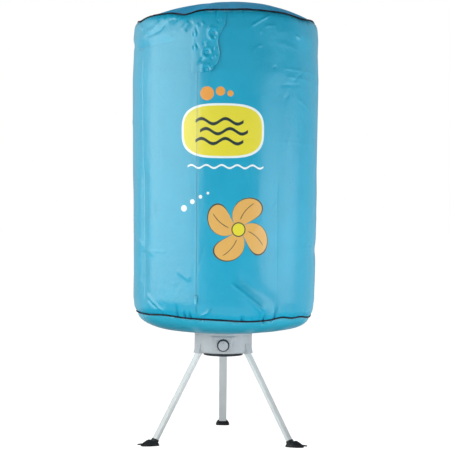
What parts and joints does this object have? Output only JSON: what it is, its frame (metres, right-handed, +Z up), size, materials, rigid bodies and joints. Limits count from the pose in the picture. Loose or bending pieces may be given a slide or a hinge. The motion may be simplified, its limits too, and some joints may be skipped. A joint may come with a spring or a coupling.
{
  "type": "portable clothes dryer",
  "caption": "Free-standing clothes dryer: a round fan heater on folding legs, a pole with two folding hanger racks, and a zipped cylindrical cloth cover with a domed top.",
  "frame": {"origin": "on the floor, under the middle of the cover and of the feet, on the heater's axis", "axes": "+Z up along the pole; the timer knob faces -Y; +X is to the right of someone who faces the knob"},
  "size_m": [0.6447, 0.6501, 1.5088],
  "materials": {
    "housing_grey": "light grey moulded plastic, satin",
    "dark_plastic": "black moulded plastic, satin",
    "knob_grey": "grey moulded plastic, smooth",
    "white_plastic": "natural white plastic",
    "rack_plastic": "light grey plastic, matt",
    "aluminium": "drawn tube, satin",
    "steel": "plain steel",
    "motor_metal": "pressed steel can",
    "heater_fins": "finned ceramic element in a metal frame",
    "foot_black": "black plastic, fine texture",
    "cover_cloth": "coated nylon, light sheen",
    "piping": "black woven binding over a cord",
    "zip_tape": "woven zip tape with moulded teeth"
  },
  "bodies": {
    "base": {"lower_housing": "housing_grey", "upper_housing": "housing_grey", "outlet_grille": "dark_plastic", "intake_grille": "dark_plastic", "fan_duct": "dark_plastic", "thermal_cutout": "dark_plastic", "timer_bezel": "dark_plastic", "cable_gland": "dark_plastic", "pole_socket": "dark_plastic", "lower_coupler": "dark_plastic", "upper_coupler": "dark_plastic", "timer_body": "white_plastic", "upper_rack_hub": "rack_plastic", "lower_rack_hub": "rack_plastic", "top_post": "rack_plastic", "lower_pole": "aluminium", "middle_pole": "aluminium", "upper_pole": "aluminium", "motor_bridge": "steel", "heater_frame": "steel", "hinge_pin_left": "steel", "hinge_pin_right": "steel", "hinge_pin_rear": "steel", "fan_motor": "motor_metal", "heating_element": "heater_fins", "cover_wall": "cover_cloth", "cover_top": "cover_cloth", "cover_bottom": "cover_cloth", "door_flap": "cover_cloth", "top_piping": "piping", "bottom_piping": "piping", "zip_tape": "zip_tape"},
    "fan": {"fan_shaft": "steel", "fan_impeller": "white_plastic"},
    "timer_knob": {"timer_knob": "knob_grey", "timer_spindle": "steel"},
    "leg_left": {"leg_tube_left": "aluminium", "leg_pivot_block_left": "foot_black", "foot_left": "foot_black"},
    "leg_right": {"leg_tube_right": "aluminium", "leg_pivot_block_right": "foot_black", "foot_right": "foot_black"},
    "leg_rear": {"leg_tube_rear": "aluminium", "leg_pivot_block_rear": "foot_black", "foot_rear": "foot_black"},
    "upper_rack_arm_1": {"upper_rack_arm_1": "rack_plastic"},
    "upper_rack_arm_2": {"upper_rack_arm_2": "rack_plastic"},
    "upper_rack_arm_3": {"upper_rack_arm_3": "rack_plastic"},
    "upper_rack_arm_4": {"upper_rack_arm_4": "rack_plastic"},
    "upper_rack_arm_5": {"upper_rack_arm_5": "rack_plastic"},
    "upper_rack_arm_6": {"upper_rack_arm_6": "rack_plastic"},
    "lower_rack_arm_1": {"lower_rack_arm_1": "rack_plastic"},
    "lower_rack_arm_2": {"lower_rack_arm_2": "rack_plastic"},
    "lower_rack_arm_3": {"lower_rack_arm_3": "rack_plastic"},
    "lower_rack_arm_4": {"lower_rack_arm_4": "rack_plastic"},
    "lower_rack_arm_5": {"lower_rack_arm_5": "rack_plastic"},
    "lower_rack_arm_6": {"lower_rack_arm_6": "rack_plastic"},
    "zip_slider": {"zip_slider": "steel"},
    "zip_pull": {"zip_pull": "steel"}
  },
  "joints": [
    {"name": "fan_spin", "type": "hinge", "parent": "base", "child": "fan", "pos_m": [0, 0, 0.3245], "axis": [0, 0, 1], "continuous": true},
    {"name": "timer_turn", "type": "hinge", "parent": "base", "child": "timer_knob", "pos_m": [0, -0.106, 0.3345], "axis": [0, 1, 0], "range_deg": [0, 300]},
    {"name": "leg_fold_left", "type": "hinge", "parent": "base", "child": "leg_left", "pos_m": [-0.07145, -0.04125, 0.3275], "axis": [0.5, -0.866, 0], "range_deg": [0, 30]},
    {"name": "leg_fold_right", "type": "hinge", "parent": "base", "child": "leg_right", "pos_m": [0.07145, -0.04125, 0.3275], "axis": [0.5, 0.866, 0], "range_deg": [0, 30]},
    {"name": "leg_fold_rear", "type": "hinge", "parent": "base", "child": "leg_rear", "pos_m": [0, 0.0825, 0.3275], "axis": [-1, 0, 0], "range_deg": [0, 30]},
    {"name": "upper_arm_fold_1", "type": "hinge", "parent": "base", "child": "upper_rack_arm_1", "pos_m": [0.01175, -0.02035, 1.4142], "axis": [0.866, 0.5, 0], "range_deg": [0, 85]},
    {"name": "upper_arm_fold_2", "type": "hinge", "parent": "base", "child": "upper_rack_arm_2", "pos_m": [0.0235, 0, 1.4142], "axis": [0, 1, 0], "range_deg": [0, 85]},
    {"name": "upper_arm_fold_3", "type": "hinge", "parent": "base", "child": "upper_rack_arm_3", "pos_m": [0.01175, 0.02035, 1.4142], "axis": [-0.866, 0.5, 0], "range_deg": [0, 85]},
    {"name": "upper_arm_fold_4", "type": "hinge", "parent": "base", "child": "upper_rack_arm_4", "pos_m": [-0.01175, 0.02035, 1.4142], "axis": [-0.866, -0.5, 0], "range_deg": [0, 85]},
    {"name": "upper_arm_fold_5", "type": "hinge", "parent": "base", "child": "upper_rack_arm_5", "pos_m": [-0.0235, 0, 1.4142], "axis": [0, -1, 0], "range_deg": [0, 85]},
    {"name": "upper_arm_fold_6", "type": "hinge", "parent": "base", "child": "upper_rack_arm_6", "pos_m": [-0.01175, -0.02035, 1.4142], "axis": [0.866, -0.5, 0], "range_deg": [0, 85]},
    {"name": "lower_arm_fold_1", "type": "hinge", "parent": "base", "child": "lower_rack_arm_1", "pos_m": [0.01175, -0.02035, 0.76223], "axis": [0.866, 0.5, 0], "range_deg": [0, 85]},
    {"name": "lower_arm_fold_2", "type": "hinge", "parent": "base", "child": "lower_rack_arm_2", "pos_m": [0.0235, 0, 0.76223], "axis": [0, 1, 0], "range_deg": [0, 85]},
    {"name": "lower_arm_fold_3", "type": "hinge", "parent": "base", "child": "lower_rack_arm_3", "pos_m": [0.01175, 0.02035, 0.76223], "axis": [-0.866, 0.5, 0], "range_deg": [0, 85]},
    {"name": "lower_arm_fold_4", "type": "hinge", "parent": "base", "child": "lower_rack_arm_4", "pos_m": [-0.01175, 0.02035, 0.76223], "axis": [-0.866, -0.5, 0], "range_deg": [0, 85]},
    {"name": "lower_arm_fold_5", "type": "hinge", "parent": "base", "child": "lower_rack_arm_5", "pos_m": [-0.0235, 0, 0.76223], "axis": [0, -1, 0], "range_deg": [0, 85]},
    {"name": "lower_arm_fold_6", "type": "hinge", "parent": "base", "child": "lower_rack_arm_6", "pos_m": [-0.01175, -0.02035, 0.76223], "axis": [0.866, -0.5, 0], "range_deg": [0, 85]},
    {"name": "zip_slide", "type": "slide", "parent": "base", "child": "zip_slider", "axis": [-0.0035, -0.0117, 0.9999], "range_m": [0, 0.72]},
    {"name": "zip_pull_swing", "type": "hinge", "parent": "zip_slider", "child": "zip_pull", "pos_m": [-0.09146, -0.30678, 0.51292], "axis": [-0.9583, 0.2857, 0], "range_deg": [0, 150]}
  ]
}
